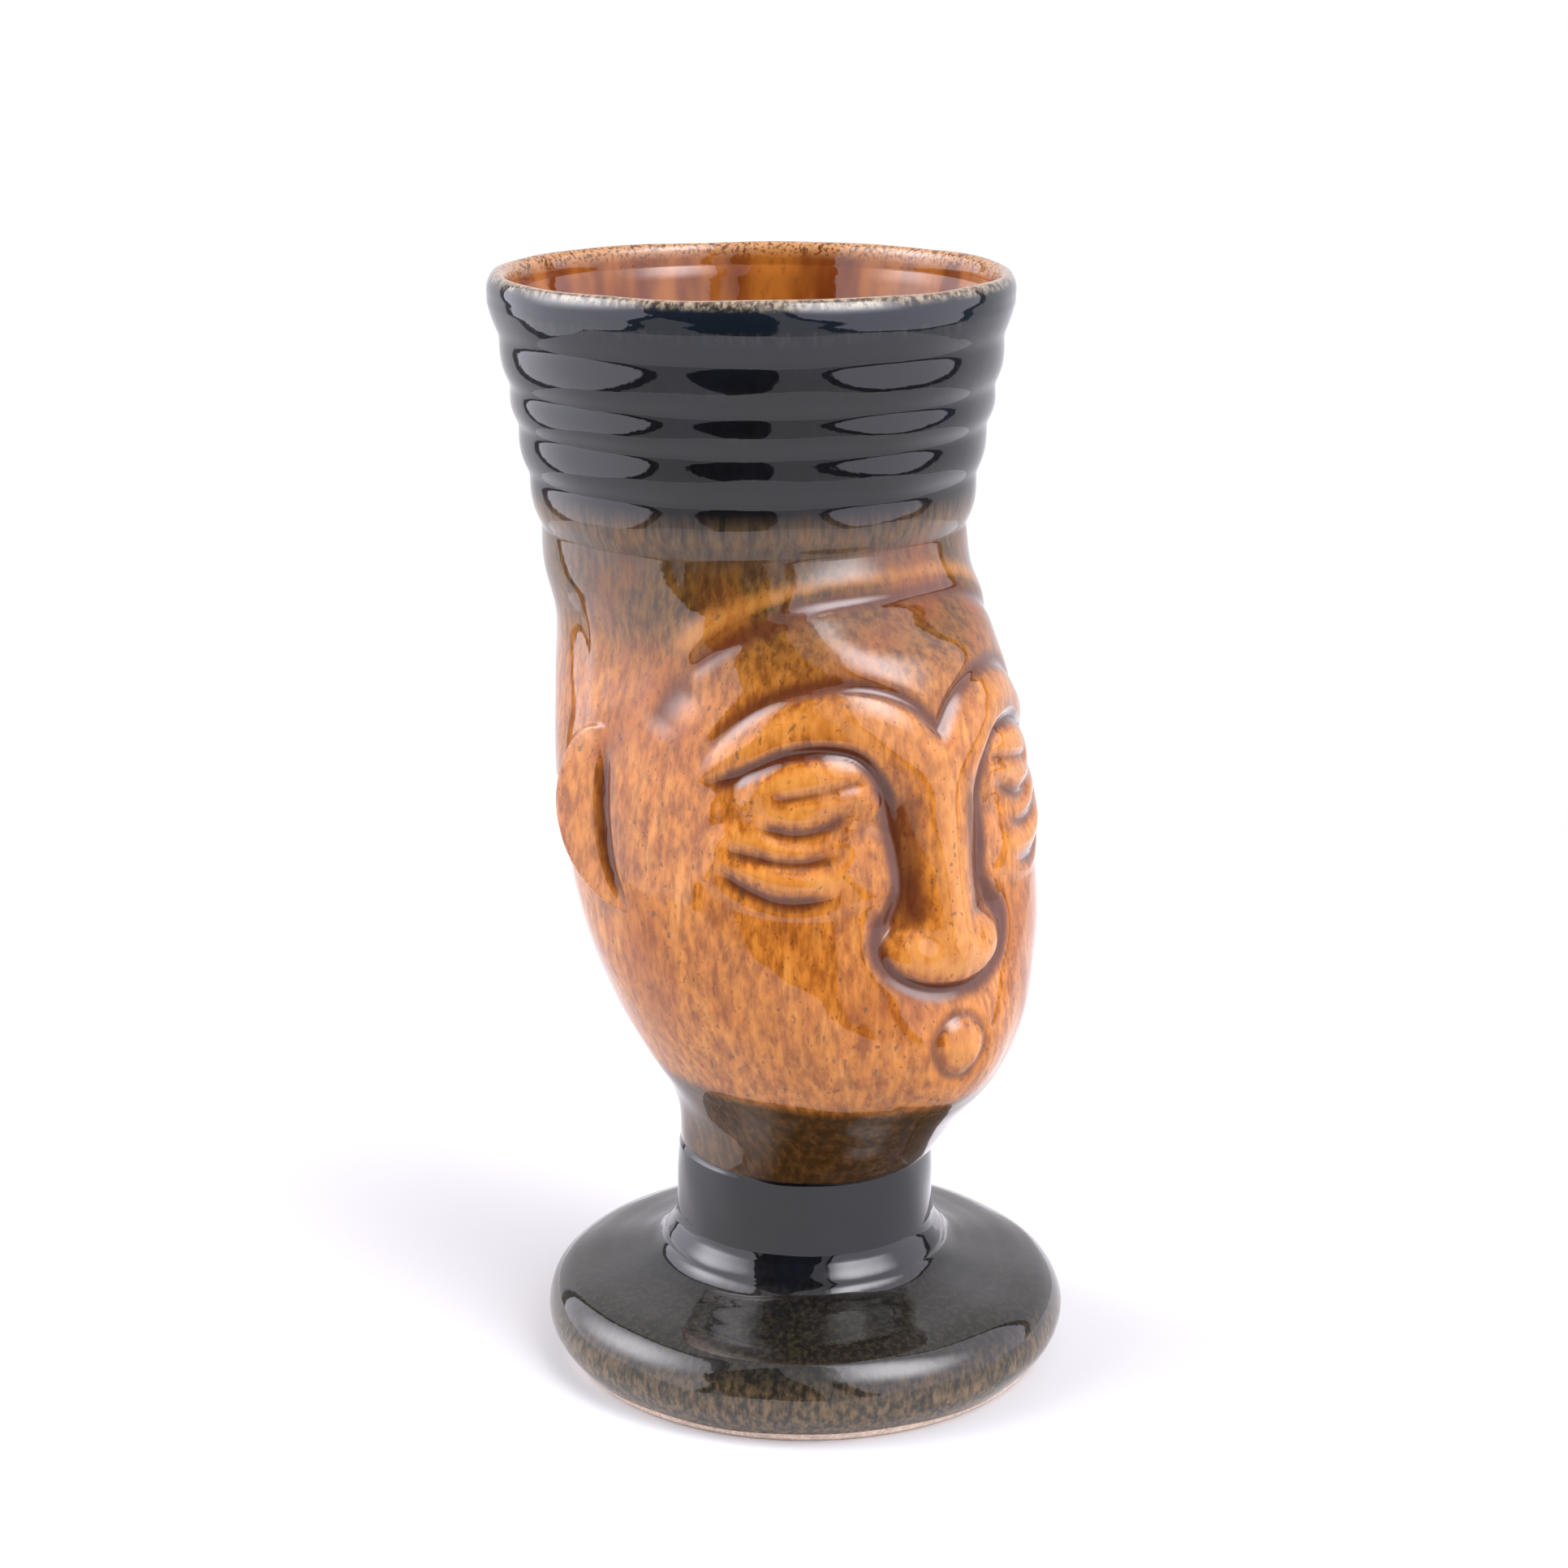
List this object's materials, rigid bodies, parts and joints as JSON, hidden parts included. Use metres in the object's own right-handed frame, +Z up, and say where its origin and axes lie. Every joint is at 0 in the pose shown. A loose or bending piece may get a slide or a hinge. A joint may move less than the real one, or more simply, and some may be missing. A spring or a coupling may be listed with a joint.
{
  "type": "tiki mug",
  "caption": "Footed ceramic goblet mug shaped as a stylised carved mask head with a ribbed round crown as its rim, ears, neck and thick disc foot.",
  "frame": {"origin": "centre of the flat bare underside of the foot, on the table", "axes": "+Z up through the rim; the face looks along -Y; the figure's right ear is at -X"},
  "size_m": [0.082, 0.0958, 0.17],
  "materials": {
    "blue_glaze": "high gloss, streaked blue-black",
    "amber_glaze": "high gloss, mottled honey brown",
    "bare_clay": "matt unglazed"
  },
  "bodies": {
    "root": {"crown_wall": "blue_glaze", "head_bowl": "amber_glaze", "brow_and_nose": "amber_glaze", "mouth_boss": "amber_glaze", "ear_right": "amber_glaze", "ear_left": "amber_glaze", "neck": "blue_glaze", "foot_disc": "blue_glaze", "bare_underside": "bare_clay"}
  },
  "joints": []
}
